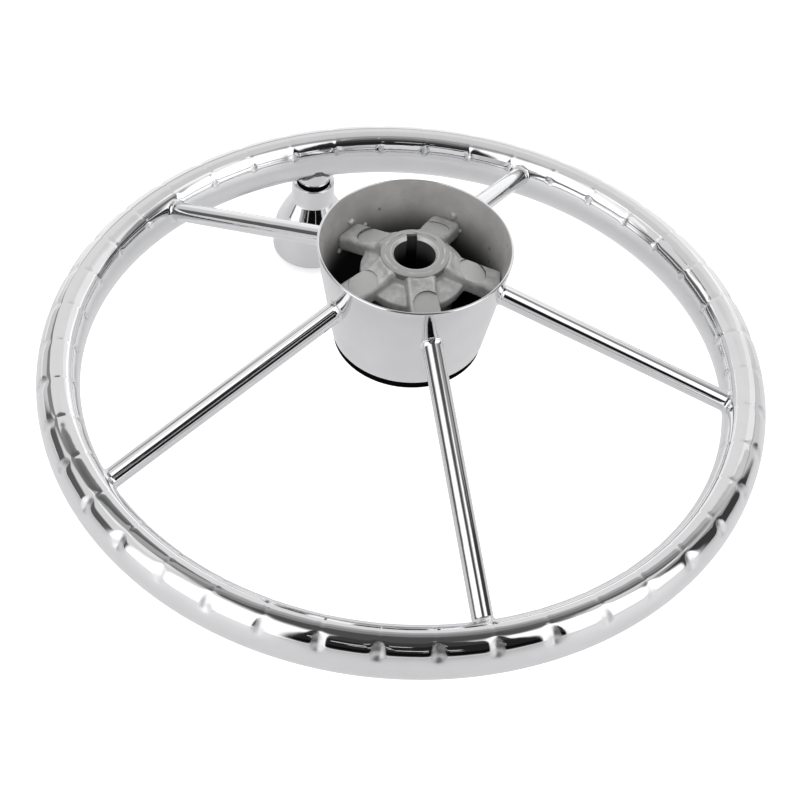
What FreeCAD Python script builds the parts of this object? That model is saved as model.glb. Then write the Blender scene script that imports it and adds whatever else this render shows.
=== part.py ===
import FreeCAD, Part
import math
import os

# Boat steering wheel of polished stainless steel.
# A ring of oval tube carries five straight rods, which run up to a conical sheet cup.
# Inside the cup a cast spider holds the tapered bore for the helm shaft. A turning knob hangs below the rim.
# The wheel lies on its front side: +Z is the wheel's own axis and points to its back, where the shaft comes in.
# The origin is the middle of the bore's mouth. Lengths are in millimetres and angles in degrees.

V = FreeCAD.Vector
AXIS = V(0, 0, 1)

# Rim
rim_diameter = 343.0
rim_width = 20.2
rim_depth = 26.0
dish = 77.8
grip_count = 42
grip_turn = 270.5
valley_depth = 0.7
valley_width = 4.6
valley_drop = 6.0
valley_lean = 36.0
rim_sectors = 3

# Spokes
spoke_count = 5
spoke_turn = -90.0
spoke_diameter = 9.5
spoke_drop = 19.0
bead_height = 0.8
bead_length = 1.8
weld_gap = 0.1

# Hub cup
cup_back_diameter = 88.2
cup_front_diameter = 70.1
cup_length = 52.7
cup_wall = 1.5
cup_stand = 5.2

# Hub spider
boss_diameter = 31.0
boss_length = 40.0
boss_edge = 0.7
bore_diameter = 19.05
bore_taper = 12.0
bore_mouth_edge = 1.1
keyway_width = 4.76
keyway_depth = 2.4
keyway_turn = 84.0
flange_diameter = 48.0
flange_drop = 10.0
flange_thickness = 5.0
front_boss_diameter = 38.0
nut_recess_diameter = 29.0
nut_recess_depth = 5.0
arm_width = 14.0
arm_depth = 8.0
arm_bevel = 3.0
arm_drop = 3.0
arm_slope = 20.0
pad_diameter = 13.6
pad_depth = 1.2
pad_start = 20.0

# Centre cap and its rubber ring
cap_dome_radius = 70.0
cap_edge_step = 0.5
cap_edge_height = 1.6
cap_sheet = 1.2
cap_skirt_diameter = 60.0
cap_skirt_length = 8.0
ring_step = 0.8
ring_thickness = 3.0
ring_sleeve = 7.0
ring_gap = 0.3

# Turning knob
knob_turn = 94.0
knob_boss_diameter = 17.6
knob_boss_drop = 16.0
knob_seal_diameter = 18.6
knob_seal_thickness = 1.6
knob_neck_diameter = 22.4
knob_neck_length = 10.2
knob_shoulder_diameter = 36.4
knob_shoulder_length = 28.0
knob_shoulder_round = 22.0
knob_diameter = 41.0
knob_length = 47.5
knob_edge_bevel = 2.2
knob_bevel = 0.6
knob_cap_height = 4.0
knob_cap_edge = 1.2
stud_diameter = 8.0
stud_length = 36.0
bush_flange_diameter = 15.0
bush_flange_thickness = 1.5
bush_wall = 2.5
bush_length = 9.0
bush_reach = 22.5
washer_diameter = 14.0
washer_thickness = 1.2
nut_width = 13.0
nut_height = 6.0

# Clearances
running_clearance = 0.06
seat_gap = 0.3

# Worked out from the sizes above
rim_middle_radius = (rim_diameter - rim_width) / 2
rim_round = rim_width / 2
rim_straight = rim_depth - rim_width
rim_plane = -dish
cup_back = cup_stand
cup_front = cup_stand - cup_length
cup_slope = (cup_back_diameter - cup_front_diameter) / 2 / cup_length
ring_radius = cup_front_diameter / 2 - ring_step
sleeve_radius = cup_front_diameter / 2 - cup_wall - ring_gap
knob_face = rim_plane - knob_boss_drop
knob_top = knob_face - knob_seal_thickness - running_clearance
knob_bottom = knob_top - knob_length
knob_floor = knob_top - bush_reach
bush_inner = stud_diameter / 2 + running_clearance
bush_outer = bush_inner + bush_wall
washer_top = knob_floor - bush_flange_thickness - running_clearance


def cup_radius(height):
    return cup_front_diameter / 2 + cup_slope * (height - cup_front)


def polar(radius, angle, height=0.0):
    turn = math.radians(angle)
    return V(radius * math.cos(turn), radius * math.sin(turn), height)


def outline(corners):
    """Closed wire in the XZ plane. Each corner is (x, z) or (x, z, rounding radius)."""
    points = [V(corner[0], 0, corner[1]) for corner in corners]
    rounds = [corner[2] if len(corner) > 2 else 0.0 for corner in corners]
    trimmed = []
    for index, point in enumerate(points):
        before = (points[index - 1] - point).normalize()
        after = (points[(index + 1) % len(points)] - point).normalize()
        if not rounds[index]:
            trimmed.append((point, None, point))
            continue
        half = before.getAngle(after) / 2
        reach = rounds[index] / math.tan(half)
        middle = point + (before + after).normalize() * (rounds[index] / math.sin(half) - rounds[index])
        trimmed.append((point + before * reach, middle, point + after * reach))
    edges = []
    for index, (start, middle, end) in enumerate(trimmed):
        if middle:
            edges.append(Part.Arc(start, middle, end).toShape())
        following = trimmed[(index + 1) % len(trimmed)][0]
        if end.distanceToPoint(following) > 1e-6:
            edges.append(Part.makeLine(end, following))
    return Part.Wire(edges)


def turned(corners):
    """Solid turned about Z from an outline of radii and heights."""
    return Part.Face(outline(corners)).revolve(V(0, 0, 0), AXIS, 360)


def disc(diameter, bottom, top):
    return Part.makeCylinder(diameter / 2, top - bottom, V(0, 0, bottom))


def turned_copy(shape, angle):
    copy = shape.copy()
    copy.rotate(V(0, 0, 0), AXIS, angle)
    return copy


def rim_section(grow=0.0):
    """Section of the ring's tube: two half circles joined by flat flanks, in the XZ plane at +X."""
    tube = rim_round + grow
    inner = rim_middle_radius - tube
    outer = rim_middle_radius + tube
    upper = V(0, 0, rim_plane + rim_straight / 2)
    lower = V(0, 0, rim_plane - rim_straight / 2)
    return Part.Face(Part.Wire([
        Part.Arc(V(outer, 0, 0) + upper, V(rim_middle_radius, 0, tube) + upper, V(inner, 0, 0) + upper).toShape(),
        Part.makeLine(V(inner, 0, 0) + upper, V(inner, 0, 0) + lower),
        Part.Arc(V(inner, 0, 0) + lower, V(rim_middle_radius, 0, -tube) + lower, V(outer, 0, 0) + lower).toShape(),
        Part.makeLine(V(outer, 0, 0) + lower, V(outer, 0, 0) + upper),
    ]))


def valley_cutter():
    """Turned V that presses the valley between two grips at +X.

    The valley is deepest where the tube's back leans outwards. The V turns about a line parallel to the tube's
    tangent and further from the valley than the tube's own middle, so the valley fades out at both ends."""
    lean = math.radians(valley_lean)
    away = V(math.sin(lean), 0, math.cos(lean))
    middle = V(rim_middle_radius, 0, rim_plane + rim_straight / 2) - away * valley_drop
    root = rim_round + valley_drop - valley_depth
    proud = 2 * valley_depth
    profile = [V(root, 0, 0), V(root + proud, -valley_width, 0), V(root + proud, valley_width, 0), V(root, 0, 0)]
    blade = Part.Face(Part.makePolygon([middle + point for point in profile]))
    blade.rotate(middle, V(0, 1, 0), valley_lean)
    return blade.revolve(middle, V(0, -1, 0), 180)


def rim():
    """Oval tube turned about the wheel's axis, with a valley pressed into its back between each two finger grips."""
    grip = 360.0 / grip_count
    span = 360.0 / rim_sectors
    cutter = valley_cutter()
    valleys = [turned_copy(cutter, grip / 2 + index * grip) for index in range(int(span / grip + 0.5))]
    sector = rim_section().revolve(V(0, 0, 0), AXIS, span).cut(valleys)
    start = grip_turn - grip / 2
    pieces = [turned_copy(sector, start + index * span) for index in range(rim_sectors)]
    return pieces[0].fuse(pieces[1:]).Solids[0]


def rim_stretch():
    """Straight length of the tube along its tangent at +X, for the saddles that are welded to the ring."""
    length = 2 * rim_width
    section = rim_section(weld_gap)
    section.translate(V(0, -length / 2, 0))
    return section.extrude(V(0, length, 0))


def cup_solid(shrink=0.0, beyond=0.0):
    """The cone that the cup's outside lies on, made smaller by a wall and longer at both ends."""
    bottom = cup_front - beyond
    top = cup_back + beyond
    return Part.makeCone(cup_radius(bottom) - shrink, cup_radius(top) - shrink, top - bottom, V(0, 0, bottom))


def hub_cup():
    return cup_solid().cut(cup_solid(cup_wall, 1.0))


def spoke(index):
    """A straight rod from the cup's wall to the rim, with a weld bead where it leaves the cup."""
    root = V(cup_radius(-spoke_drop), 0, -spoke_drop)
    foot = V(rim_middle_radius, 0, rim_plane)
    along = (foot - root).normalize()
    start = root - along * spoke_diameter
    half = spoke_diameter / 2
    rod = Part.makeCylinder(half, (foot - start).Length, start, along)
    bead = Part.makeCone(half + 2 * bead_height, half, 2 * bead_length, root - along * bead_length, along)
    solid = rod.fuse(bead).cut([cup_solid(), rim_stretch()])
    solid = max(solid.Solids, key=lambda piece: piece.Volume)
    return turned_copy(solid, spoke_turn + index * 360.0 / spoke_count)


def arm():
    """One cast arm of the spider at the +X side, with a round pad milled into its back."""
    rise = math.radians(arm_slope)
    along = V(math.cos(rise), 0, -math.sin(rise))
    up = V(math.sin(rise), 0, math.cos(rise))
    side = V(0, 1, 0)
    crown = V(boss_diameter / 2, 0, -arm_drop)
    root = crown - along * (boss_diameter / 4)
    half = arm_width / 2
    flat = half - arm_bevel
    levels = [(flat, 0), (half, -arm_bevel), (half, arm_bevel - arm_depth), (flat, -arm_depth)]
    levels += [(-across, height) for across, height in reversed(levels)]
    points = [root + side * across + up * height for across, height in levels]
    bar = Part.Face(Part.makePolygon(points + points[:1])).extrude(along * (cup_back_diameter / 2))
    pad_middle = crown + along * (pad_start + pad_diameter / 2 - boss_diameter / 2) - up * pad_depth
    return bar.cut(Part.makeCylinder(pad_diameter / 2, arm_depth, pad_middle, up))


def hub_spider():
    """Cast boss with a tie flange and five arms, bored to a taper, with a keyway and a recess for the shaft's nut."""
    flange_top = -flange_drop
    flange_bottom = flange_top - flange_thickness
    body = turned([
        (0, 0),
        (boss_diameter / 2 - boss_edge, 0),
        (boss_diameter / 2, -boss_edge),
        (boss_diameter / 2, flange_top),
        (flange_diameter / 2, flange_top),
        (flange_diameter / 2, flange_bottom),
        (front_boss_diameter / 2, flange_bottom),
        (front_boss_diameter / 2, -boss_length),
        (0, -boss_length),
    ])
    arms = [turned_copy(arm(), spoke_turn + index * 360.0 / spoke_count) for index in range(spoke_count)]
    inside = cup_solid(cup_wall, 20.0)
    body = body.fuse([each.common(inside) for each in arms]).removeSplitter()
    mouth = bore_diameter / 2
    narrow = mouth - boss_length / bore_taper / 2
    taper = turned([(0, 0), (mouth + bore_mouth_edge, 0), (mouth - bore_mouth_edge / bore_taper / 2, -bore_mouth_edge),
                    (narrow, -boss_length), (0, -boss_length)])
    recess = disc(nut_recess_diameter, -boss_length, nut_recess_depth - boss_length)
    keyway = Part.makeBox(mouth + keyway_depth, keyway_width, boss_length, V(0, -keyway_width / 2, -boss_length))
    return body.cut([taper, recess, turned_copy(keyway, keyway_turn)])


def cap_ring():
    """Rubber ring with a flange under the cup's edge and a sleeve that grips inside it."""
    inner = cap_skirt_diameter / 2
    return turned([
        (inner, cup_front + ring_sleeve),
        (sleeve_radius, cup_front + ring_sleeve),
        (sleeve_radius, cup_front),
        (ring_radius, cup_front),
        (ring_radius, cup_front - ring_thickness),
        (inner, cup_front - ring_thickness),
    ])


def centre_cap():
    """Domed sheet cap with a skirt that holds the rubber ring."""
    seat = cup_front - ring_thickness
    edge = ring_radius - cap_edge_step
    skirt = cap_skirt_diameter / 2
    rim_bottom = seat - cap_edge_height
    dome_span = edge - cap_edge_height / 2
    sag = cap_dome_radius - math.sqrt(cap_dome_radius ** 2 - dome_span ** 2)
    top = rim_bottom - sag
    inside = cap_dome_radius - cap_sheet
    middle_angle = math.asin(dome_span / cap_dome_radius) / 2
    centre = V(0, 0, top + cap_dome_radius)
    outer_mid = centre + V(math.sin(middle_angle), 0, -math.cos(middle_angle)) * cap_dome_radius
    bottom = Part.Arc(V(dome_span, 0, rim_bottom), outer_mid, V(0, 0, top)).toShape()
    bore = skirt - cap_sheet
    inner_angle = math.asin(bore / inside)
    inner_end = centre + V(math.sin(inner_angle), 0, -math.cos(inner_angle)) * inside
    inner_mid = centre + V(math.sin(inner_angle / 2), 0, -math.cos(inner_angle / 2)) * inside
    ceiling = Part.Arc(V(0, 0, top + cap_sheet), inner_mid, inner_end).toShape()
    skirt_top = seat + cap_skirt_length
    path = [V(edge, 0, seat), V(skirt, 0, seat), V(skirt, 0, skirt_top), V(bore, 0, skirt_top), inner_end]
    edges = [Part.makeLine(a, b) for a, b in zip(path, path[1:])]
    edges += [ceiling, Part.makeLine(V(0, 0, top + cap_sheet), V(0, 0, top)), bottom]
    edges += [Part.makeLine(V(dome_span, 0, rim_bottom), V(edge, 0, seat))]
    return Part.Face(Part.Wire(Part.__sortEdges__(edges))).revolve(V(0, 0, 0), AXIS, 360)


def at_knob(shape):
    shape.translate(polar(rim_middle_radius, knob_turn))
    return shape


def knob_boss():
    """Short pad welded to the front of the rim, saddled to the tube, that carries the stud."""
    pad = disc(knob_boss_diameter, knob_face, rim_plane).cut(disc(stud_diameter, knob_face, rim_plane))
    pad.translate(V(rim_middle_radius, 0, 0))
    return turned_copy(pad.cut(rim_stretch()), knob_turn)


def knob_seal():
    """Rubber washer between the pad and the turning bell."""
    outer = knob_seal_diameter / 2
    inner = stud_diameter / 2 + running_clearance
    bottom = knob_face - knob_seal_thickness
    return at_knob(turned([(inner, knob_face), (outer, knob_face), (outer, bottom), (inner, bottom)]))


def knob_body():
    """Turned bell with a straight neck, bored for two bushes and hollow below them."""
    neck = knob_neck_diameter / 2
    wide = knob_diameter / 2
    lip = wide - knob_edge_bevel
    return at_knob(turned([
        (bush_outer, knob_top),
        (neck - knob_bevel, knob_top),
        (neck, knob_top - knob_bevel),
        (neck, knob_top - knob_neck_length),
        (knob_shoulder_diameter / 2, knob_top - knob_shoulder_length, knob_shoulder_round),
        (wide, knob_bottom + knob_edge_bevel),
        (lip, knob_bottom),
        (lip, knob_bottom + 2 * knob_cap_edge),
        (bush_flange_diameter / 2 + seat_gap, knob_floor),
        (bush_outer, knob_floor),
    ]))


def knob_bush_upper():
    """Plain sleeve pressed into the bell's neck."""
    return at_knob(disc(2 * bush_outer, knob_top - bush_length, knob_top)
                   .cut(disc(2 * bush_inner, knob_top - bush_length, knob_top)))


def knob_bush_lower():
    """Flanged sleeve pressed in from below, whose flange carries the bell on the washer."""
    top = knob_floor + bush_length
    bottom = knob_floor - bush_flange_thickness
    flange = bush_flange_diameter / 2
    return at_knob(turned([
        (bush_inner, top),
        (bush_outer, top),
        (bush_outer, knob_floor),
        (flange, knob_floor),
        (flange, bottom),
        (bush_inner, bottom),
    ]))


def knob_stud():
    return at_knob(disc(stud_diameter, knob_face - stud_length, rim_plane - rim_depth / 2))


def knob_washer():
    bottom = washer_top - washer_thickness
    return at_knob(disc(washer_diameter, bottom, washer_top).cut(disc(stud_diameter, bottom, washer_top)))


def knob_locknut():
    top = washer_top - washer_thickness
    corner = nut_width / 2 / math.cos(math.radians(30))
    blank = Part.Face(Part.makePolygon([polar(corner, 60 * step, top - nut_height) for step in range(7)]))
    return at_knob(blank.extrude(V(0, 0, nut_height)).cut(disc(stud_diameter, top - nut_height, top)))


def knob_end_cap():
    """Pressed cap with a low crown that closes the bell from below."""
    edge = knob_diameter / 2 - knob_edge_bevel
    return at_knob(turned([
        (0, knob_bottom + knob_cap_edge),
        (edge, knob_bottom + knob_cap_edge),
        (edge, knob_bottom),
        (edge / 2, knob_bottom - knob_cap_height),
        (0, knob_bottom - knob_cap_height),
    ]))


def build():
    nodes = {
        "rim": rim(),
        "hub_cup": hub_cup(),
        "hub_spider": hub_spider(),
        "cap_ring": cap_ring(),
        "centre_cap": centre_cap(),
        "knob_boss": knob_boss(),
        "knob_seal": knob_seal(),
        "knob_stud": knob_stud(),
        "knob_body": knob_body(),
        "knob_bush_upper": knob_bush_upper(),
        "knob_bush_lower": knob_bush_lower(),
        "knob_washer": knob_washer(),
        "knob_locknut": knob_locknut(),
        "knob_end_cap": knob_end_cap(),
    }
    for index in range(spoke_count):
        nodes["spoke_%d" % (index + 1)] = spoke(index)
    return nodes


os.makedirs("parts", exist_ok=True)
for name, shape in build().items():
    shape.exportStep("parts/%s.step" % name)
    print(name, "solids", len(shape.Solids), "faces", len(shape.Faces), "valid", shape.isValid(),
          "volume", round(shape.Volume, 1))
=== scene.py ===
import math
import random

import bmesh
import bpy
from mathutils import Matrix, Vector, noise


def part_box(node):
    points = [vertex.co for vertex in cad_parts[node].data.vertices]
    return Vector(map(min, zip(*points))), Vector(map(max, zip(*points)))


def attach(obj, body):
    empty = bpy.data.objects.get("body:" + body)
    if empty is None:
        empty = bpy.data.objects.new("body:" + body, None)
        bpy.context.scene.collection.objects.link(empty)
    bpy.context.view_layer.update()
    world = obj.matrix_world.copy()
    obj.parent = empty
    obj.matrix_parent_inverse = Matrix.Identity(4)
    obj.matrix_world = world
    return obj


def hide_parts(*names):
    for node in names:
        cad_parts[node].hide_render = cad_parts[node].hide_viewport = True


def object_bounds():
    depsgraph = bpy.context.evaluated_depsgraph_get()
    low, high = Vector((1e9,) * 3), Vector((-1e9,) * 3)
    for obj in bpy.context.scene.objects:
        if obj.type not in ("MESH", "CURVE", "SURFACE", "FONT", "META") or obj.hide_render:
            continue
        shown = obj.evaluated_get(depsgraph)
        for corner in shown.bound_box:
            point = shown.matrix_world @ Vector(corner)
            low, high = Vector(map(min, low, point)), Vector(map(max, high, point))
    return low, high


bl_info = {
    "name": "Boat steering wheel",
    "version": (1, 0, 0),
    "blender": (4, 5, 0),
    "location": "3D View > Sidebar > Wheel",
    "description": "Dresses a five-rod steel steering wheel for a boat with its shapes, finishes and studio",
    "category": "Object",
}

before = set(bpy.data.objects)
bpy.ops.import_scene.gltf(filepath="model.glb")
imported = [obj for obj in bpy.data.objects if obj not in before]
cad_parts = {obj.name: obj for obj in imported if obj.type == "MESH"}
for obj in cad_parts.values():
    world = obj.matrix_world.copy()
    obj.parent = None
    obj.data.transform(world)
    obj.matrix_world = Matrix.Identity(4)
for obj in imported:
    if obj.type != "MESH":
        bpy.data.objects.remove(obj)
cad_low, cad_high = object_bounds()

MM = 0.001
MERGE = 2e-6  # points nearer than this become one, in metres
ROD_TURNS = [-90.0 + index * 360.0 / 5 for index in range(5)]
OVAL = 2.2  # power of the rim's oval section, where 2 is an ellipse
TAPER = 24.0  # length in which the bore's radius loses one unit


def node_height(node):
    low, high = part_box(node)
    return low.z, high.z


def node_width(node):
    low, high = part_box(node)
    return high.x - low.x


RIM_BOTTOM, RIM_TOP = node_height("rim")
CUP_FRONT, CUP_BACK = node_height("hub_cup")
KNOB_BOTTOM, KNOB_TOP = node_height("knob_body")
KNOB_AXIS = (sum(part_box("knob_body"), Vector()) / 2).xy.to_3d()
END_BOTTOM, END_TOP = node_height("knob_end_cap")
CUP_BACK_RADIUS = node_width("hub_cup") / 2


def length(name, description, default):
    return bpy.props.FloatProperty(name=name, description=description, default=default, min=0.0,
                                   unit="LENGTH")


def angle(name, description, degrees):
    return bpy.props.FloatProperty(name=name, description=description, default=math.radians(degrees),
                                   subtype="ANGLE")


def colour(name, description, default):
    return bpy.props.FloatVectorProperty(name=name, description=description, default=default, size=3,
                                         min=0.0, max=1.0, subtype="COLOR")


class WheelSizes(bpy.types.PropertyGroup):
    """Sizes of the wheel's visible shapes."""

    rim_diameter: length("Rim diameter", "Across the outside of the rim", node_width("rim"))
    rim_width: length("Rim width", "Width of the rim's oval tube", 20.2 * MM)
    grips: bpy.props.IntProperty(name="Grips", description="Finger grips round the rim", default=42, min=3)
    grip_turn: angle("Grip turn", "Where one valley between grips lies", 270.5)
    valley_depth: length("Valley depth", "How deep the tube is pressed between two grips", 0.55 * MM)
    valley_crown: length("Valley crown", "How deep a valley still is on the crown of the tube", 0.09 * MM)
    dimple_depth: length("Dimple depth", "How much deeper a valley's outer end is", 0.26 * MM)
    rod_diameter: length("Rod diameter", "Diameter of the five rods", 9.5 * MM)
    rod_drop: length("Rod drop", "How far below the bore's mouth the rods leave the cup", 19.0 * MM)
    weld_reach: length("Weld reach", "Width of the weld round a rod's end at the cup", 1.0 * MM)
    foot_reach: length("Foot reach", "Width of the weld round a rod's end at the rim", 1.3 * MM)
    cup_front_diameter: length("Cup front diameter", "Across the narrow end of the cup", 70.1 * MM)
    cup_wall: length("Cup wall", "Thickness of the cup's sheet", 1.25 * MM)
    boss_diameter: length("Boss diameter", "Across the machined face of the boss", 31.0 * MM)
    bore_diameter: length("Bore diameter", "Diameter of the tapered bore's mouth", 19.05 * MM)
    arm_width: length("Arm width", "Width of the spider's arms at the boss", 13.0 * MM)
    arm_drop: length("Arm drop", "How far below the boss's face the arms leave it", 2.8 * MM)
    arm_slope: angle("Arm slope", "How far the arms droop towards the cup", 20.0)
    arm_depth: length("Arm depth", "Depth of the spider's arms", 7.5 * MM)
    pad_diameter: length("Pad diameter", "Across the round pad milled into an arm", 13.6 * MM)
    ring_step: length("Ring step", "How far the rubber ring stands back from the cup's front edge", 0.8 * MM)
    ring_thickness: length("Ring thickness", "Height of the rubber ring that shows below the cup", 4.1 * MM)
    voxel: length("Casting grain", "Step of the grid that joins the casting", 0.5 * MM)


class WheelFinishes(bpy.types.PropertyGroup):
    """Colours of the wheel's finishes."""

    steel: colour("Polished steel", "Mirror polished stainless steel", (0.79, 0.79, 0.80))
    inside: colour("Cup inside", "Matt sheet inside the cup", (0.49, 0.48, 0.475))
    casting: colour("Casting", "Blasted steel casting", (0.5, 0.5, 0.497))
    machined: colour("Machined steel", "Turned and milled faces", (0.74, 0.74, 0.73))
    rubber: colour("Rubber", "Black rubber ring and washer", (0.002, 0.002, 0.0022))
    nylon: colour("Nylon", "Pressed-in sleeves", (0.72, 0.7, 0.64))
    floor: colour("Floor", "Pale studio floor", (0.70, 0.70, 0.705))


# Outlines and turned shapes


def polar(radius, angle, height=0.0):
    turn = math.radians(angle)
    return Vector((radius * math.cos(turn), radius * math.sin(turn), height))


def outline(corners, fine=4):
    """Points in millimetres along a closed outline. Each corner is (x, z) or (x, z, rounding radius)."""
    points = []
    for index, corner in enumerate(corners):
        here = Vector(corner[:2])
        if len(corner) < 3:
            points.append(here)
            continue
        before = (Vector(corners[index - 1][:2]) - here).normalized()
        after = (Vector(corners[(index + 1) % len(corners)][:2]) - here).normalized()
        half = before.angle(after) / 2
        reach = corner[2] / math.tan(half)
        centre = here + (before + after).normalized() * corner[2] / math.sin(half)
        start = here + before * reach - centre
        end = here + after * reach - centre
        for step in range(fine + 1):
            points.append(centre + start.slerp(end, step / fine).normalized() * corner[2])
    return points


def spun(bm, points, steps, closed=True, centre=Vector()):
    """Spins an outline in millimetres, given as radius and height, about an upright axis."""
    verts = [bm.verts.new((centre.x + point[0] * MM, centre.y, point[1] * MM)) for point in points]
    pairs = list(zip(verts, verts[1:]))
    if closed:
        pairs.append((verts[-1], verts[0]))
    edges = [bm.edges.new(pair) for pair in pairs]
    bmesh.ops.spin(bm, geom=verts + edges, cent=centre, axis=(0, 0, 1), angle=math.tau, steps=steps,
                   use_merge=True)
    bmesh.ops.remove_doubles(bm, verts=bm.verts, dist=MERGE)
    return bm


def lying(start, end):
    """Matrix that lays the Z axis from start towards end."""
    way = (end - start).normalized()
    return Matrix.Translation(start) @ way.to_track_quat("Z", "X").to_matrix().to_4x4()


def once(items):
    """Each item once, in the order in which they come. A set would change the order from run to run."""
    return list(dict.fromkeys(items))


def stored(bm, name):
    """The mesh that a bmesh becomes."""
    mesh = bpy.data.meshes.new(name)
    bm.to_mesh(mesh)
    bm.free()
    return mesh


def taken(mesh, bm):
    """The bmesh with a mesh added to it. The mesh itself is removed."""
    bm.from_mesh(mesh)
    bpy.data.meshes.remove(mesh)
    return bm


def placed(name, data):
    """A new object in the scene."""
    item = bpy.data.objects.new(name, data)
    bpy.context.scene.collection.objects.link(item)
    return item


def close_mesh(bm, name, sharp=40.0):
    """Turns the faces outwards, shades them smooth, keeps the hard edges and returns the mesh."""
    bmesh.ops.recalc_face_normals(bm, faces=bm.faces)
    if bm.calc_volume(signed=True) < 0:
        bmesh.ops.reverse_faces(bm, faces=bm.faces)
    limit = math.radians(sharp)
    for face in bm.faces:
        face.smooth = True
    for edge in bm.edges:
        edge.smooth = not edge.is_manifold or edge.calc_face_angle(0.0) < limit
    return stored(bm, name)


def turned(name, points, steps, centre=Vector(), closed=True):
    """The finished mesh of a turned piece."""
    return close_mesh(spun(bmesh.new(), points, steps, closed, centre), name)


def add_piece(name, mesh, body, finishes, nodes=()):
    """Puts a finished mesh on the wheel in place of the nodes that it stands for."""
    if not mesh.polygons:
        raise RuntimeError("%s has no faces" % name)
    piece = placed(name, mesh)
    for item in finishes:
        mesh.materials.append(finish(item))
    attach(piece, body)
    if nodes:
        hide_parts(*nodes)


def baked(bm, name, modifiers):
    """The mesh that a bmesh becomes under modifiers, given as (type, settings)."""
    mesh = stored(bm, name)
    blank = placed(name, mesh)
    for kind, settings in modifiers:
        modifier = blank.modifiers.new(kind.lower(), kind)
        for key, value in settings.items():
            setattr(modifier, key, value)
    graph = bpy.context.evaluated_depsgraph_get()
    made = bpy.data.meshes.new_from_object(blank.evaluated_get(graph))
    bpy.data.objects.remove(blank)
    bpy.data.meshes.remove(mesh)
    return made


def cut_away(bm, name, tools):
    """The mesh that is left of a bmesh when other bmeshes are cut away."""
    cutters = []
    for tool in tools:
        bmesh.ops.recalc_face_normals(tool, faces=tool.faces)
        cutters.append(placed("cutter", stored(tool, "cutter")))
    made = baked(bm, name, [("BOOLEAN", {"operation": "DIFFERENCE", "object": cutter, "solver": "EXACT"})
                            for cutter in cutters])
    for cutter in cutters:
        mesh = cutter.data
        bpy.data.objects.remove(cutter)
        bpy.data.meshes.remove(mesh)
    return made


def ripple(point, grain, seed=0.0):
    """Smooth random value from -1 to 1 that changes over about one grain."""
    return noise.noise(point / grain + Vector((seed, seed * 0.7, -seed)))


def fade(value, low, high):
    """Smooth step from 0 at low to 1 at high. High may be the smaller one."""
    share = min(1.0, max(0.0, (value - low) / (high - low)))
    return share * share * (3 - 2 * share)


# Finishes


class Nodes:
    """Builds the nodes of one shader."""

    def __init__(self, tree, space):
        self.tree = tree
        self.place = self.add("ShaderNodeTexCoord").outputs[space]

    def fill(self, node, values):
        """Gives the inputs of a node, by name or number, a value or a link."""
        for key, value in values.items():
            if isinstance(value, bpy.types.NodeSocket):
                self.tree.links.new(value, node.inputs[key])
            elif value is not None:
                node.inputs[key].default_value = value

    def add(self, kind, values=None, **settings):
        node = self.tree.nodes.new(kind)
        for key, value in settings.items():
            setattr(node, key, value)
        self.fill(node, values or {})
        return node

    def range(self, value, low, high, start=0.0, end=1.0):
        """Value from low to high mapped smoothly from start to end."""
        values = {"Value": value, "From Min": low, "From Max": high, "To Min": start, "To Max": end}
        return self.add("ShaderNodeMapRange", values, interpolation_type="SMOOTHSTEP").outputs["Result"]

    def math(self, operation, first, second):
        return self.add("ShaderNodeMath", {0: first, 1: second}, operation=operation).outputs["Value"]

    def both(self, first, second):
        """Share that counts where both shares do."""
        return self.math("MULTIPLY", first, second)

    def vector(self, operation, first, second=None):
        return self.add("ShaderNodeVectorMath", {0: first, 1: second}, operation=operation)

    def mix(self, kind, share, first, second):
        """Goes from first to second with share. The kind is FLOAT or RGBA."""
        socket, result = {"FLOAT": (2, 0), "RGBA": (6, 2)}[kind]
        values = {0: share, socket: first, socket + 1: second}
        return self.add("ShaderNodeMix", values, data_type=kind).outputs[result]

    def along(self, axis):
        """Place along an axis of the wheel, in metres, or of a direction."""
        return self.add("ShaderNodeSeparateXYZ", {"Vector": self.place}).outputs[axis]

    def flat(self):
        """Place or direction without its height."""
        return self.vector("MULTIPLY", self.place, (1, 1, 0)).outputs["Vector"]


class Finish(Nodes):
    """Builds the nodes of one material."""

    def __init__(self, name):
        self.material = bpy.data.materials.new(name)
        self.material.use_nodes = True
        super().__init__(self.material.node_tree, "Object")
        self.shader = self.tree.nodes["Principled BSDF"]

    def noise(self, scale, detail=3.0, roughness=0.5, stretch=(1, 1, 1)):
        """Noise that lies mostly between 0.3 and 0.7."""
        mapping = self.add("ShaderNodeMapping", {"Vector": self.place, "Scale": stretch})
        values = {"Vector": mapping.outputs["Vector"], "Scale": scale, "Detail": detail,
                  "Roughness": roughness}
        return self.add("ShaderNodeTexNoise", values).outputs["Fac"]

    def spread(self, noise_value, start, end):
        return self.range(noise_value, 0.3, 0.7, start, end)

    def shade(self, noise_value, colour, dark, light, high=0.7):
        """A colour that goes from dark to light times itself with a noise."""
        share = self.range(noise_value, 0.3, high)
        return self.mix("RGBA", share, tone(colour, dark), tone(colour, light))

    def bump(self, height, distance, strength=1.0, before=None):
        values = {"Strength": strength, "Distance": distance, "Height": height, "Normal": before}
        return self.add("ShaderNodeBump", values).outputs["Normal"]

    def done(self, colour, roughness, normal=None, metallic=1.0):
        self.fill(self.shader, {"Base Color": colour, "Roughness": roughness, "Normal": normal,
                                "Metallic": metallic})


def tone(colour, share):
    return tuple(part * share for part in colour) + (1.0,)


def finish(name):
    """One of the wheel's materials, made when it is first asked for."""
    own = "wheel_" + name
    if own not in bpy.data.materials:
        MAKERS[name](Finish(own), bpy.context.scene.wheel_finishes)
    return bpy.data.materials[own]


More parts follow.
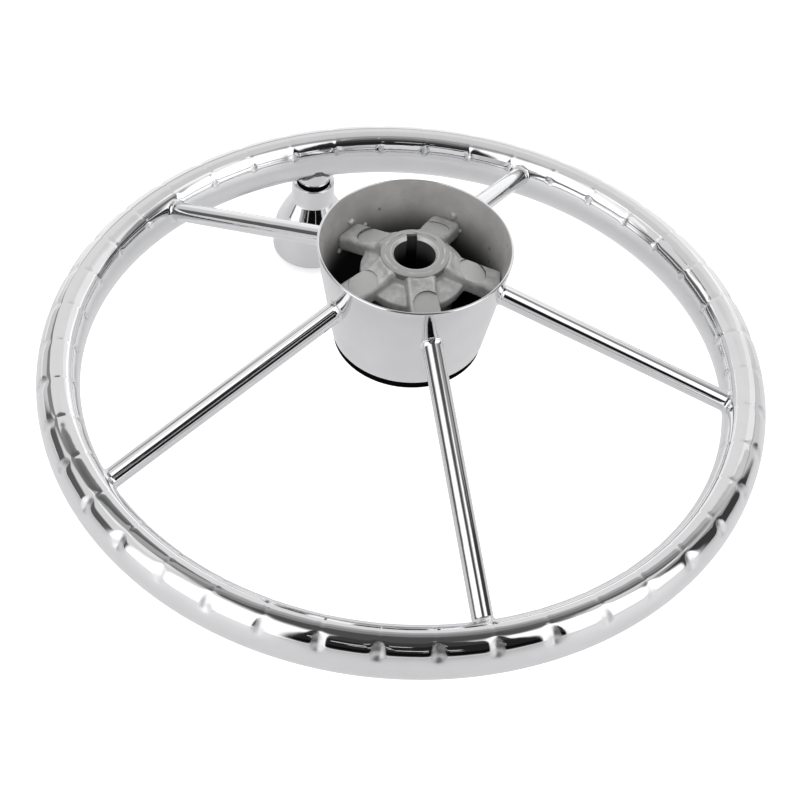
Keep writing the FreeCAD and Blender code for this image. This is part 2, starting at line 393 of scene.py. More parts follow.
def make_polished_steel(f, colours):
    """Mirror polish with faint waves. Pressed valleys, where the polishing wheel can't reach, stay duller."""
    pressed = f.add("ShaderNodeAttribute", attribute_name="pressed").outputs["Fac"]
    cloud = f.noise(70.0, 2.0)
    fine = f.noise(900.0, 4.0, 0.6)
    grain = f.math("ADD", f.math("MULTIPLY", cloud, 0.6), f.math("MULTIPLY", fine, 0.4))
    roughness = f.range(grain, 0.35, 0.65, 0.035, 0.075)
    dull = f.math("MULTIPLY", f.range(pressed, 0.2, 0.9), 0.26)
    f.done(f.shade(cloud, colours.steel, 0.97, 1.0), f.math("ADD", roughness, dull),
           f.bump(f.noise(110.0, 1.0), 0.00006))


def make_cup_inside(f, colours):
    """Matt sheet with painted shade that darkens it towards the bottom of the cup, and a few small pits."""
    cloud = f.noise(45.0, 5.0, 0.6)
    grain = f.noise(1500.0, 3.0, 0.7)
    worn = f.shade(cloud, colours.inside, 0.84, 1.16, 0.72)
    pit = f.add("ShaderNodeTexVoronoi", {"Vector": f.place, "Scale": 170.0}, feature="F1")
    spots = f.both(f.range(pit.outputs["Distance"], 0.08, 0.2, 1.0, 0.0), f.range(cloud, 0.46, 0.56))
    worn = f.mix("RGBA", spots, worn, tone(colours.inside, 0.55))
    # Painted shade: the sheet fades to nearly black towards the bottom of the cup.
    painted_light_share = f.range(f.along("Z"), -0.027, -0.004)
    f.done(f.mix("RGBA", painted_light_share, tone(colours.inside, 0.05), worn), f.spread(grain, 0.48, 0.62),
           f.bump(grain, 0.00006, 0.6), metallic=0.35)


def make_cast_steel(f, colours):
    """Blasted casting: fine grain with darker specks, soft lumps, and painted shade that darkens its lowest
    parts deep in the cup.
    """
    lumps = f.noise(260.0, 4.0, 0.55)
    grain = f.noise(2400.0, 3.0, 0.65)
    shade = f.shade(lumps, colours.casting, 0.82, 1.1, 0.68)
    speck = f.math("MULTIPLY", f.range(grain, 0.34, 0.42, 1.0, 0.0), 0.35)
    shade = f.mix("RGBA", speck, shade, tone(colours.casting, 0.45))
    # Painted shade: the casting fades to nearly black between 18 and 34 mm below the boss's face.
    painted_light_share = f.range(f.along("Z"), -0.034, -0.018)
    f.done(f.mix("RGBA", painted_light_share, tone(colours.casting, 0.06), shade), f.spread(grain, 0.4, 0.54),
           f.bump(lumps, 0.00022, 0.8, f.bump(grain, 0.00009, 0.8)), metallic=0.5)


def make_machined_steel(f, colours):
    """Turned boss and milled pads. The pads and the boss's face differ in tone; the chamfer carries a painted
    highlight, and the boss's rounded side and the bore carry painted shade, nearly black deep in the bore.
    """
    rings = f.add("ShaderNodeTexWave", {"Vector": f.place, "Scale": 900.0, "Distortion": 1.2, "Detail": 2.0},
                  wave_type="RINGS", rings_direction="Z")
    cloud = f.noise(220.0, 4.0)
    shade = f.shade(cloud, colours.machined, 0.86, 1.05)
    away = f.vector("LENGTH", f.flat()).outputs["Value"]
    height = f.along("Z")
    pads = f.range(away, 0.016, 0.0165)
    face = f.both(f.range(away, 0.0107, 0.0111), f.range(away, 0.016, 0.0165, 1.0, 0.0))
    # Painted light: shade on the boss's rounded side, a highlight on the mouth's chamfer, and shade down the
    # bore, darkest deep inside.
    side = f.both(f.range(away, 0.0150, 0.0153), f.range(height, -0.0009, -0.0005, 1.0, 0.0))
    chamfer = f.both(f.range(away, 0.0107, 0.0111, 1.0, 0.0), f.range(height, -0.0016, -0.0010))
    bore = f.both(f.range(away, 0.0130, 0.0134, 1.0, 0.0), f.range(height, -0.0016, -0.0010, 1.0, 0.0))
    deep = f.both(bore, f.range(height, -0.013, -0.003, 1.0, 0.0))
    for share, level in ((pads, 0.7), (face, 0.5), (f.both(side, face), 0.3), (chamfer, 0.72), (bore, 0.16),
                         (deep, 0.01)):
        shade = f.mix("RGBA", share, shade, tone(colours.machined, level))
    f.done(shade, f.spread(cloud, 0.38, 0.5), f.bump(rings.outputs["Fac"], 0.00002, 0.5), metallic=0.6)


def make_painted_edge_shade(f, colours):
    """Painted shade along the wall round a milled pad and along the weld seam between the knob's pad and the
    rim.
    """
    cloud = f.noise(900.0, 3.0)
    f.done(f.shade(cloud, colours.casting, 0.12, 0.34), f.spread(cloud, 0.5, 0.7), f.bump(cloud, 0.0001),
           metallic=0.3)


def make_plain_steel(f, colours):
    """Turned steel of the hidden parts in the knob."""
    lines = f.noise(600.0, 3.0, 0.6, (1, 1, 6))
    f.done(f.shade(lines, colours.machined, 0.85, 1.1), f.spread(lines, 0.22, 0.36),
           f.bump(lines, 0.00004, 0.5))


def make_black_rubber(f, colours):
    """Moulded rubber with a faint bloom."""
    cloud = f.noise(120.0, 4.0)
    f.fill(f.shader, {"Specular IOR Level": 0.0})
    f.done(f.shade(cloud, colours.rubber, 1.0, 1.9), f.spread(cloud, 0.85, 1.0),
           f.bump(f.noise(3000.0, 2.0), 0.00005, 0.5), metallic=0.0)


def make_nylon(f, colours):
    """Milky nylon of the sleeves."""
    cloud = f.noise(200.0, 3.0)
    f.done(f.shade(cloud, colours.nylon, 0.93, 1.03), f.spread(cloud, 0.38, 0.5),
           f.bump(f.noise(1800.0), 0.00004, 0.5), metallic=0.0)


MAKERS = {
    "polished_steel": make_polished_steel,
    "cup_inside": make_cup_inside,
    "cast_steel": make_cast_steel,
    "machined_steel": make_machined_steel,
    "painted_edge_shade": make_painted_edge_shade,
    "plain_steel": make_plain_steel,
    "black_rubber": make_black_rubber,
    "nylon": make_nylon,
}


# Shapes that several pieces share


def rim_centre(sizes):
    """Radius of the middle of the rim's tube, its half width, half depth and height."""
    half = sizes.rim_width / 2
    return sizes.rim_diameter / 2 - half, half, (RIM_TOP - RIM_BOTTOM) / 2, (RIM_TOP + RIM_BOTTOM) / 2


def cup_outside(sizes, height):
    front = sizes.cup_front_diameter / 2
    return front + (CUP_BACK_RADIUS - front) * (height - CUP_FRONT) / (CUP_BACK - CUP_FRONT)


def inside_rim(sizes, point, more=0.0):
    """Whether a point lies in the rim's tube, grown by more."""
    middle, half, deep, plane = rim_centre(sizes)
    across = abs(math.hypot(point.x, point.y) - middle) / (half + more)
    along = abs(point.z - plane) / (deep + more)
    return across ** OVAL + along ** OVAL < 1.0


def inside_cup(sizes, point):
    return math.hypot(point.x, point.y) < cup_outside(sizes, point.z)


def landing(inside, start, way, reach=0.03):
    """Distance from start along way to where a solid is entered."""
    near, far = -reach, reach
    for _ in range(22):
        middle = (near + far) / 2
        if inside(start + way * middle):
            far = middle
        else:
            near = middle
    return far


def rod_line(sizes, turn):
    """Where a rod leaves the cup and where it meets the middle of the rim's tube."""
    middle, _, _, plane = rim_centre(sizes)
    root = polar(cup_outside(sizes, -sizes.rod_drop), turn, -sizes.rod_drop)
    return root, polar(middle, turn, plane)


def weld(bm, start, way, rod, reach, rise, inside, seed, sink=0.7 * MM, waves=13):
    """A weld round a bar that runs from start along way into a solid. Its outer edge lies on that solid."""
    place = lying(start, start + way)
    back = -0.8 * MM
    section = [(reach, -sink), (reach, 0.0), (0.62 * reach, 0.16 * rise), (0.33 * reach, 0.38 * rise),
               (0.13 * reach, 0.68 * rise), (0.02 * reach, rise), (back, 1.1 * rise), (back, -sink)]
    loop = [bm.verts.new((rod + out, 0, up)) for out, up in section]
    edges = [bm.edges.new((loop[index - 1], loop[index])) for index in range(len(loop))]
    old = set(bm.verts) - set(loop)
    bmesh.ops.spin(bm, geom=loop + edges, cent=(0, 0, 0), axis=(0, 0, 1), angle=math.tau, steps=72,
                   use_merge=True)
    for vert in set(bm.verts) - old:
        out, up = math.hypot(vert.co.x, vert.co.y), vert.co.z
        turn = math.atan2(vert.co.y, vert.co.x)
        spread = max(0.0, out - rod) / reach
        ripples = math.cos(waves * turn + 2.0 * noise.noise(Vector((seed, turn, 0.0))))
        lumps = noise.noise(Vector((math.cos(turn) * 1.3, math.sin(turn) * 1.3, seed * 3.1)))
        out += (0.06 * ripples * fade(spread, 0.0, 0.4) + 0.16 * lumps * spread) * reach
        point = Vector((math.cos(turn) * out, math.sin(turn) * out, 0.0))
        ground = landing(inside, place @ point, way)
        vert.co = place @ (point + Vector((0, 0, ground - up)))
    return bm


# Pieces


# Arcs round the rim's tube where a valley is pressed, in degrees from the outside over the crown.
# Each fades in between the first two numbers and out between the last two.
FLANK = (18, 34, 48, 76)
CROWN = (60, 85, 125, 155)
# Dimples at a valley's ends: place in degrees, width along the rim and round the tube in millimetres, share
DIMPLES = [(33, 2.8, 2.4, 1.0), (147, 1.6, 1.8, 1.35)]
FULL_PRESS = 0.3 * MM  # press that counts as a whole valley in the finish


def within(around, arc):
    return fade(around, arc[0], arc[1]) * (1 - fade(around, arc[2], arc[3]))


def valley(sizes, turn, around, radius):
    """How far the tube is pressed in at an angle about the wheel and an angle in degrees around the tube."""
    place = (turn - sizes.grip_turn) * sizes.grips / math.tau
    number = round(place) % sizes.grips
    gap = (place - round(place)) * math.tau / sizes.grips * radius
    gap += 0.5 * MM * noise.noise(Vector((number * 3.7, 0.3, around / 50)))
    strength = 1.0 + 0.7 * noise.noise(Vector((number * 1.9, 5.0, around / 90)))
    press = sizes.valley_depth * within(around, FLANK) * strength * math.exp(-(gap / (2.6 * MM)) ** 2)
    press += sizes.valley_crown * within(around, CROWN) * math.exp(-(gap / (1.2 * MM)) ** 2)
    ends = 0.0
    for middle, wide, high, share in DIMPLES:
        away = math.hypot(gap / (wide * MM), math.radians(around - middle) * 13 / high)
        ends += share * math.exp(-away ** 2)
    return press + sizes.dimple_depth * strength * ends


def build_rim(sizes):
    """Oval tube, spun in small steps that crowd at the valleys and then pressed between the grips."""
    middle, half, deep, plane = rim_centre(sizes)
    bm = bmesh.new()
    count, crowd = 60, 0.62
    loop = []
    for index in range(count):
        turn = math.tau * index / count
        across = math.copysign(abs(math.cos(turn)) ** (2 / OVAL), math.cos(turn)) * half
        along = math.copysign(abs(math.sin(turn)) ** (2 / OVAL), math.sin(turn)) * deep
        loop.append(bm.verts.new((middle + across, 0, plane + along)))
    edges = [bm.edges.new((loop[index - 1], loop[index])) for index in range(count)]
    grip = math.tau / sizes.grips
    bmesh.ops.spin(bm, geom=loop + edges, cent=(0, 0, 0), axis=(0, 0, 1), angle=grip, steps=24)
    bmesh.ops.spin(bm, geom=[*bm.verts, *bm.edges, *bm.faces], cent=(0, 0, 0), axis=(0, 0, 1),
                   angle=math.tau - grip, steps=sizes.grips - 1, use_duplicate=True)
    bmesh.ops.remove_doubles(bm, verts=bm.verts, dist=MERGE)
    pressed = bm.verts.layers.float.new("pressed")
    for vert in bm.verts:
        across, along = math.hypot(vert.co.x, vert.co.y) - middle, vert.co.z - plane
        turn = math.atan2(vert.co.y, vert.co.x)
        turn -= crowd * math.sin(sizes.grips * (turn - sizes.grip_turn)) / sizes.grips
        around = math.degrees(math.atan2(along / deep, across / half)) % 360
        press = valley(sizes, turn, around, middle + across)
        vert[pressed] = press / FULL_PRESS
        inward = Vector((-math.copysign(abs(across / half) ** (OVAL - 1), across) / half,
                         -math.copysign(abs(along / deep) ** (OVAL - 1), along) / deep)).normalized()
        across += inward.x * press
        along += inward.y * press
        away = middle + across
        vert.co = Vector((math.cos(turn) * away, math.sin(turn) * away, plane + along))
    return close_mesh(bm, "rim", 60.0)


def build_rod(sizes, number, turn):
    """A straight rod with its weld at the cup and its smaller weld at the rim."""
    root, foot = rod_line(sizes, turn)
    way = (foot - root).normalized()
    radius = sizes.rod_diameter / 2
    start, end = root - way * 0.2 * MM, foot - way * 3.0 * MM
    lengths = 8
    rise = (end - start).length / lengths
    bm = bmesh.new()
    circle = bmesh.ops.create_circle(bm, cap_ends=False, segments=64, radius=radius)["verts"]
    ring = once(edge for vert in circle for edge in vert.link_edges)
    for _ in range(lengths):
        grown = bmesh.ops.extrude_edge_only(bm, edges=ring)["geom"]
        ring = [item for item in grown if isinstance(item, bmesh.types.BMEdge)]
        bmesh.ops.translate(bm, verts=once(v for e in ring for v in e.verts), vec=(0, 0, rise))
    bmesh.ops.holes_fill(bm, edges=[e for e in bm.edges if e.is_boundary], sides=0)
    bmesh.ops.transform(bm, matrix=lying(start, end), verts=bm.verts)
    weld(bm, root, -way, radius, sizes.weld_reach, 1.7 * sizes.weld_reach,
         lambda point: inside_cup(sizes, point), number + 0.5)
    weld(bm, foot - way * sizes.rim_width / 2, way, radius, sizes.foot_reach, 1.3 * sizes.foot_reach,
         lambda point: inside_rim(sizes, point), number + 6.5, sink=0.4 * MM)
    return close_mesh(bm, "rod_%d" % number, 50.0)


def build_cup(sizes):
    """Conical sheet cup with a rounded bright lip. Its inside takes the second finish."""
    back, front = CUP_BACK / MM, CUP_FRONT / MM
    outer_back, outer_front = cup_outside(sizes, CUP_BACK) / MM, cup_outside(sizes, CUP_FRONT) / MM
    wall = sizes.cup_wall / MM
    points = outline([
        (outer_back, back, 0.7),
        (outer_back - wall, back, 0.5),
        (outer_front - wall, front, 0.3),
        (outer_front, front, 0.5),
    ], 5)
    bm = spun(bmesh.new(), points, 160)
    half_height = (CUP_BACK - CUP_FRONT) / 2
    long_edges = [e for e in bm.edges if abs(e.verts[0].co.z - e.verts[1].co.z) > half_height]
    bmesh.ops.subdivide_edges(bm, edges=long_edges, cuts=7, use_grid_fill=True)
    for face in bm.faces:
        middle = face.calc_center_median()
        deep = cup_outside(sizes, middle.z) - math.hypot(middle.x, middle.y)
        face.material_index = int(deep > 0.93 * sizes.cup_wall)
    return close_mesh(bm, "cup", 50.0)


def arm_matrix(sizes, turn):
    """Lays an arm from the boss to the wall, drooping, with X along the arm and Z square to its back."""
    root = Matrix.Translation((sizes.boss_diameter / 2, 0, -sizes.arm_drop))
    return Matrix.Rotation(math.radians(turn), 4, "Z") @ root @ Matrix.Rotation(sizes.arm_slope, 4, "Y")


def with_faces(verts):
    """Verts with the edges and faces that they belong to."""
    return once(item for v in verts for item in [v, *v.link_edges, *v.link_faces])


def add_arm(bm, sizes, turn):
    """One cast arm: a bar with a rounded back, wider at the wall, that swells where it leaves the boss."""
    long, in_boss, flare, swell, wall_height = 44 * MM, 9 * MM, 1.14, 1.9 * MM, -12 * MM
    before = set(bm.verts)
    bar = bmesh.ops.create_cube(bm, size=1.0)["verts"]
    bmesh.ops.scale(bm, vec=(long, sizes.arm_width, sizes.arm_depth), verts=bar)
    bmesh.ops.translate(bm, vec=(long / 2 - in_boss, 0, -sizes.arm_depth / 2), verts=bar)
    for vert in bar:
        if vert.co.x > 0:
            vert.co.y *= flare
    edges = once(e for v in bar for e in v.link_edges
                 if abs(e.verts[0].co.x - e.verts[1].co.x) > long / 2 and v.co.z > -1 * MM)
    bmesh.ops.bevel(bm, geom=edges, offset=2.2 * MM, offset_type="OFFSET", segments=4, profile=0.5,
                    affect="EDGES", material=-1, clamp_overlap=True)
    for place in (0.0, 1.0, 2.0, 3.0, 4.5, 6.0):
        geometry = with_faces([v for v in bm.verts if v not in before])
        bmesh.ops.bisect_plane(bm, geom=geometry, plane_co=(place * MM, 0, 0), plane_no=(1, 0, 0))
    verts = [v for v in bm.verts if v not in before]
    for vert in verts:
        if vert.co.z > -3 * MM:
            vert.co.z += swell * (1 - min(1.0, max(0.0, vert.co.x / (6 * MM)))) ** 2
    bmesh.ops.transform(bm, matrix=arm_matrix(sizes, turn), verts=verts)
    slope = math.atan2(cup_outside(sizes, CUP_BACK) - cup_outside(sizes, CUP_FRONT), CUP_BACK - CUP_FRONT)
    inner = cup_outside(sizes, wall_height) - sizes.cup_wall - 0.5 * MM
    normal = (polar(math.cos(slope), turn) - Vector((0, 0, math.sin(slope)))).normalized()
    cut = bmesh.ops.bisect_plane(bm, geom=with_faces(verts), plane_co=polar(inner, turn, wall_height),
                                 plane_no=normal, clear_outer=True)
    rim_edges = [item for item in cut["geom_cut"] if isinstance(item, bmesh.types.BMEdge)]
    bmesh.ops.holes_fill(bm, edges=rim_edges, sides=0)


def drill(bm, radius, depth, segments, matrix):
    """Adds a round cutter that lies along the Z axis of a matrix, with its middle there."""
    verts = bmesh.ops.create_cone(bm, cap_ends=True, segments=segments, radius1=radius, radius2=radius,
                                  depth=depth)["verts"]
    bmesh.ops.transform(bm, matrix=matrix, verts=verts)


# Round parts of the rough casting in millimetres: the boss, its front collar and the flange below the arms
CASTING_OUTLINES = [
    [(0.0, -39.2), (15.3, -39.2, 0.8), (15.3, -1.2, 0.8), (0.0, -1.2)],
    [(0.0, -40.0), (19.0, -40.0, 0.8), (19.0, -14.0, 0.8), (0.0, -14.0)],
    [(0.0, -15.0), (24.0, -15.0, 0.6), (24.0, -10.2, 0.6), (15.0, -6.4), (0.0, -6.4)],
]
# Each arm's turn from its rod in degrees, and how far aside and how deep its pad is milled in millimetres
ARM_PADS = [(-2.0, 1.4, 1.1), (0.0, 0.0, 0.9), (0.0, 0.3, 0.4), (0.0, -1.1, 1.3), (0.0, 0.0, 0.45)]
PAD_START = 4.8 * MM  # distance of the pads from the boss
PAD_FLOOR, PAD_SIDE = 1, 2  # the finishes of a pad's milled floor and of its wall, which takes painted shade


def build_casting(sizes):
    """The spider's rough body: boss, flange and arms joined and softened as a casting, then milled."""
    bm = bmesh.new()
    for corners in CASTING_OUTLINES:
        spun(bm, outline(corners, 3), 96, closed=False)
    pads = [(arm_matrix(sizes, turn + aside), shift * MM, deep * MM)
            for turn, (aside, shift, deep) in zip(ROD_TURNS, ARM_PADS)]
    for turn, (aside, _, _) in zip(ROD_TURNS, ARM_PADS):
        add_arm(bm, sizes, turn + aside)
    bmesh.ops.recalc_face_normals(bm, faces=bm.faces)
    pad_radius = sizes.pad_diameter / 2
    pad_middle = PAD_START + pad_radius
    cutters = bmesh.new()
    for matrix, shift, deep in pads:
        place = Matrix.Translation((pad_middle, shift, 4 * MM - deep))
        drill(cutters, pad_radius, 8 * MM, 64, matrix @ place)
    drill(cutters, 13 * MM, 60 * MM, 96, Matrix.Translation((0, 0, -20 * MM)))
    recess = bmesh.new()
    drill(recess, 14.5 * MM, 10 * MM, 96, Matrix.Translation((0, 0, -40 * MM)))
    soft = baked(bm, "soft", [
        ("REMESH", {"mode": "VOXEL", "voxel_size": sizes.voxel, "use_smooth_shade": True}),
        ("SMOOTH", {"factor": 0.5, "iterations": 14}),
    ])
    bm = taken(soft, bmesh.new())
    for vert in bm.verts:
        lump = 0.16 * ripple(vert.co, 5 * MM, 3.0) + 0.07 * ripple(vert.co, 1.8 * MM, 9.0)
        vert.co += vert.normal * lump * MM
    bm = taken(cut_away(bm, "spider", [cutters, recess]), bmesh.new())
    bmesh.ops.dissolve_degenerate(bm, dist=MERGE, edges=bm.edges)
    floors = [(matrix.inverted(), shift, deep) for matrix, shift, deep in pads]
    for face in bm.faces:
        middle = face.calc_center_median()
        for matrix, shift, deep in floors:
            local = matrix @ middle
            if abs(local.z + deep) < 0.02 * MM and abs(local.y) < 9 * MM and 0 < local.x < 24 * MM:
                level = (matrix.to_3x3() @ face.normal).z > 0.999
                face.material_index = PAD_FLOOR if level else 0
            across = math.hypot(local.x - pad_middle, local.y - shift)
            # The pad's wall takes the painted edge shade.
            if abs(across - pad_radius) < 0.04 * MM and -deep - 0.1 * MM < local.z < 3 * MM:
                face.material_index = PAD_SIDE
    return bm


def add_core(bm, sizes):
    """The machined middle: boss face, tapered bore with its chamfer and keyway."""
    mouth = sizes.bore_diameter / 2 / MM
    outer = sizes.boss_diameter / 2 / MM
    chamfer, bottom, joint = 1.1, 35.0, 13.05
    core = spun(bmesh.new(), outline([
        (mouth + chamfer, 0.0),
        (outer, 0.0, 0.55),
        (outer, -3.4),
        (joint, -3.9),
        (joint, -bottom),
        (mouth - bottom / TAPER, -bottom),
        (mouth - chamfer / TAPER, -chamfer),
    ]), 144)
    bmesh.ops.recalc_face_normals(core, faces=core.faces)
    key_reach, key_width, key_turn = 12.2 * MM, 4.76 * MM, math.radians(84.0)
    key = bmesh.new()
    verts = bmesh.ops.create_cube(key, size=1.0)["verts"]
    bmesh.ops.scale(key, vec=(key_reach, key_width, 60 * MM), verts=verts)
    bmesh.ops.translate(key, vec=(key_reach / 2, 0, 0), verts=verts)
    bmesh.ops.rotate(key, cent=(0, 0, 0), matrix=Matrix.Rotation(key_turn, 3, "Z"), verts=verts)
    mesh = cut_away(core, "core", [key])
    for polygon in mesh.polygons:
        polygon.material_index = 1
    taken(mesh, bm)


def build_tacks(sizes):
    """Short uneven tacks that hold the arms' ends to the cup's wall."""
    chance = random.Random(11)
    spots = [(122.4, -9.2), (49.4, -8.9), (111.0, -14.6)]
    for turn in ROD_TURNS:
        for side in (-1, 1):
            spots.append((turn + side * chance.uniform(9.5, 10.6), chance.uniform(-19.5, -14.5)))
    bm = bmesh.new()
    for number, (turn, height) in enumerate(spots):
        size = 1.7 * MM if number < 2 else 1.15 * MM * chance.uniform(0.85, 1.2)
        blob = bmesh.ops.create_icosphere(bm, subdivisions=3, radius=size)["verts"]
        for vert in blob:
            vert.co *= 1 + 0.3 * ripple(vert.co, 1.4 * MM, number * 1.7)
        bmesh.ops.scale(bm, vec=(0.8, chance.uniform(1.0, 1.5), 1.0), verts=blob)
        radius = cup_outside(sizes, height * MM) - sizes.cup_wall
        spot = Matrix.Rotation(math.radians(turn), 4, "Z")
        bmesh.ops.transform(bm, matrix=Matrix.Translation(polar(radius, turn, height * MM)) @ spot, verts=blob)
    return close_mesh(bm, "tacks", 80.0)


def build_bell():
    """The turned bell with its straight neck, its cone, its round shoulder and its hollow."""
    top = KNOB_TOP / MM
    bottom = KNOB_BOTTOM / MM
    points = outline([
        (11.2, top, 0.5),
        (11.2, top - 11.3, 3.0),
        (15.6, top - 19.6, 9.0),
        (19.3, top - 28.6, 8.0),
        (20.45, bottom + 2.0, 1.8),
        (18.3, bottom, 0.5),
        (18.3, bottom + 2.4),
        (7.8, top - 22.5),
        (6.56, top - 22.5),
        (6.56, top),
    ], 10)
    return turned("knob_bell", points, 128, KNOB_AXIS)


def build_knob_end():
    """The pressed cap that closes the bell, with a soft crown."""
    bottom = END_BOTTOM / MM
    points = outline([(0.0, bottom), (10.5, bottom, 6.0), (18.15, KNOB_BOTTOM / MM - 0.1, 0.6),
                      (18.15, END_TOP / MM), (0.0, END_TOP / MM)], 6)
    return turned("knob_end", points, 112, KNOB_AXIS, closed=False)


def build_knob_pad(sizes):
    """The round pad under the rim, with the uneven weld that joins it to the tube."""
    low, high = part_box("knob_boss")
    radius = (high.x - low.x) / 2
    centre = (low + high) / 2
    bottom, top = low.z / MM, high.z / MM + 1.2
    points = outline([(0.0, bottom), (radius / MM, bottom, 0.5), (radius / MM, top), (0.0, top)])
    bm = spun(bmesh.new(), points, 96, closed=False, centre=Vector((centre.x, centre.y, 0)))
    pad_faces = set(bm.faces)
    weld(bm, Vector((centre.x, centre.y, RIM_BOTTOM)), Vector((0, 0, 1)), radius, 0.9 * MM, 1.2 * MM,
         lambda point: inside_rim(sizes, point), 3.3, sink=0.3 * MM, waves=17)
    # Weld faces next to the tube take painted shade along the seam between pad and rim.
    for face in set(bm.faces) - pad_faces:
        face.material_index = int(inside_rim(sizes, face.calc_center_median(), 0.45 * MM))
    return close_mesh(bm, "knob_pad", 50.0)


def build_washer():
    """The soft black washer between pad and bell."""
    low, high = (height / MM for height in node_height("knob_seal"))
    points = outline([(4.1, low), (8.8, low, 0.4), (8.8, high, 0.4), (4.1, high)])
    return turned("knob_washer_rubber", points, 96, KNOB_AXIS)


def build_cap_ring(sizes):
    """Rubber ring whose flange shows below the cup."""
    high = node_height("cap_ring")[1] / MM
    step = CUP_FRONT / MM
    low = step - sizes.ring_thickness / MM
    outer = (sizes.cup_front_diameter / 2 - sizes.ring_step) / MM
    sleeve = (sizes.cup_front_diameter / 2 - sizes.cup_wall) / MM - 0.6
    points = outline([(SKIRT_OUTER, low), (outer, low, 0.4), (outer, step, 0.3), (sleeve, step),
                      (sleeve, high, 0.6), (SKIRT_OUTER, high)])
    return turned("rubber_ring", points, 144)


def dome(edge, radius, centre, steps):
    """Points in millimetres on a dome, from its top to a distance from its axis."""
    points = []
    for step in range(steps + 1):
        across = edge * step / steps
        points.append(Vector((across, centre - math.sqrt(radius ** 2 - across ** 2))))
    return points


# The centre cap's skirt, its sheet and the radius of its dome, in millimetres
SKIRT_OUTER, SKIRT_INNER = 30.0, 28.8
CAP_SHEET, CAP_DOME = 1.2, 70.0


def build_cap(sizes):
    """Domed centre cap with a rolled edge and a skirt that holds the rubber ring."""
    low, high = (height / MM for height in node_height("centre_cap"))
    seat = (CUP_FRONT - sizes.ring_thickness) / MM
    edge = (sizes.cup_front_diameter / 2 - sizes.ring_step) / MM - 0.5
    centre = low + CAP_DOME
    roll = outline([(edge, seat - 1.3, 0.6), (edge, seat, 0.4), (SKIRT_OUTER, seat), (SKIRT_OUTER, high, 0.4),
                    (SKIRT_INNER, high, 0.4)])
    inside = dome(SKIRT_INNER, CAP_DOME - CAP_SHEET, centre, 16)[::-1]
    bm = spun(bmesh.new(), dome(edge - 0.9, CAP_DOME, centre, 20) + roll + inside, 144, closed=False)
    # The cap's inner side, facing up into the cup, takes the black rubber finish and shows dark.
    for face in bm.faces:
        middle = face.calc_center_median()
        across = middle.xy.length / MM
        inner = middle.z / MM > centre - math.sqrt((CAP_DOME - CAP_SHEET / 2) ** 2 - across ** 2)
        face.material_index = int(across < SKIRT_OUTER + 0.5 and inner)
    return close_mesh(bm, "dome_cap")


# Operators


# Finishes of the nodes inside the knob, which come from the CAD
HIDDEN = {
    "plain_steel": ["knob_stud", "knob_washer", "knob_locknut"],
    "nylon": ["knob_bush_upper", "knob_bush_lower"],
}


class WHEEL_OT_rim(bpy.types.Operator):
    """Makes the rim with its finger grips"""

    bl_idname = "wheel.rim"
    bl_label = "Rim"

    def execute(self, context):
        add_piece("rim_grips", build_rim(context.scene.wheel_sizes), "wheel",
                  ["polished_steel"], ["rim"])
        return {"FINISHED"}


class WHEEL_OT_rods(bpy.types.Operator):
    """Makes the five rods and their welds"""

    bl_idname = "wheel.rods"
    bl_label = "Rods"

    def execute(self, context):
        for number, turn in enumerate(ROD_TURNS, 1):
            rod = build_rod(context.scene.wheel_sizes, number, turn)
            add_piece(rod.name, rod, "wheel", ["polished_steel"], ["spoke_%d" % number])
        return {"FINISHED"}


class WHEEL_OT_cup(bpy.types.Operator):
    """Makes the hub's sheet cup"""

    bl_idname = "wheel.cup"
    bl_label = "Hub cup"

    def execute(self, context):
        add_piece("cup", build_cup(context.scene.wheel_sizes), "wheel",
                  ["polished_steel", "cup_inside"], ["hub_cup"])
        return {"FINISHED"}


class WHEEL_OT_spider(bpy.types.Operator):
    """Makes the cast spider with its machined bore, and the tacks that hold it"""

    bl_idname = "wheel.spider"
    bl_label = "Spider"

    def execute(self, context):
        sizes = context.scene.wheel_sizes
        bm = build_casting(sizes)
        add_core(bm, sizes)
        add_piece("spider", close_mesh(bm, "spider", 38.0), "wheel",
                  ["cast_steel", "machined_steel", "painted_edge_shade"], ["hub_spider"])
        add_piece("arm_tacks", build_tacks(sizes), "wheel", ["cast_steel"])
        return {"FINISHED"}


class WHEEL_OT_cap(bpy.types.Operator):
    """Makes the centre cap and its rubber ring"""

    bl_idname = "wheel.cap"
    bl_label = "Centre cap"

    def execute(self, context):
        sizes = context.scene.wheel_sizes
        add_piece("rubber_ring", build_cap_ring(sizes), "cap", ["black_rubber"], ["cap_ring"])
        add_piece("dome_cap", build_cap(sizes), "cap", ["polished_steel", "black_rubber"],
                  ["centre_cap"])
        return {"FINISHED"}


class WHEEL_OT_knob(bpy.types.Operator):
    """Makes the knob's pad, washer, bell and end cap, and finishes its hidden parts"""

    bl_idname = "wheel.knob"
    bl_label = "Turning knob"

    def execute(self, context):
        pad = build_knob_pad(context.scene.wheel_sizes)
        add_piece("knob_pad", pad, "wheel", ["polished_steel", "painted_edge_shade"], ["knob_boss"])
        add_piece("knob_soft_washer", build_washer(), "wheel", ["black_rubber"], ["knob_seal"])
        add_piece("knob_bell", build_bell(), "knob", ["polished_steel"], ["knob_body"])
        add_piece("knob_end", build_knob_end(), "knob", ["polished_steel"],
                  ["knob_end_cap"])
        for name, nodes in HIDDEN.items():
            for node in nodes:
                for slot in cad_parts[node].material_slots:
                    slot.material = finish(name)
        return {"FINISHED"}


# Studio


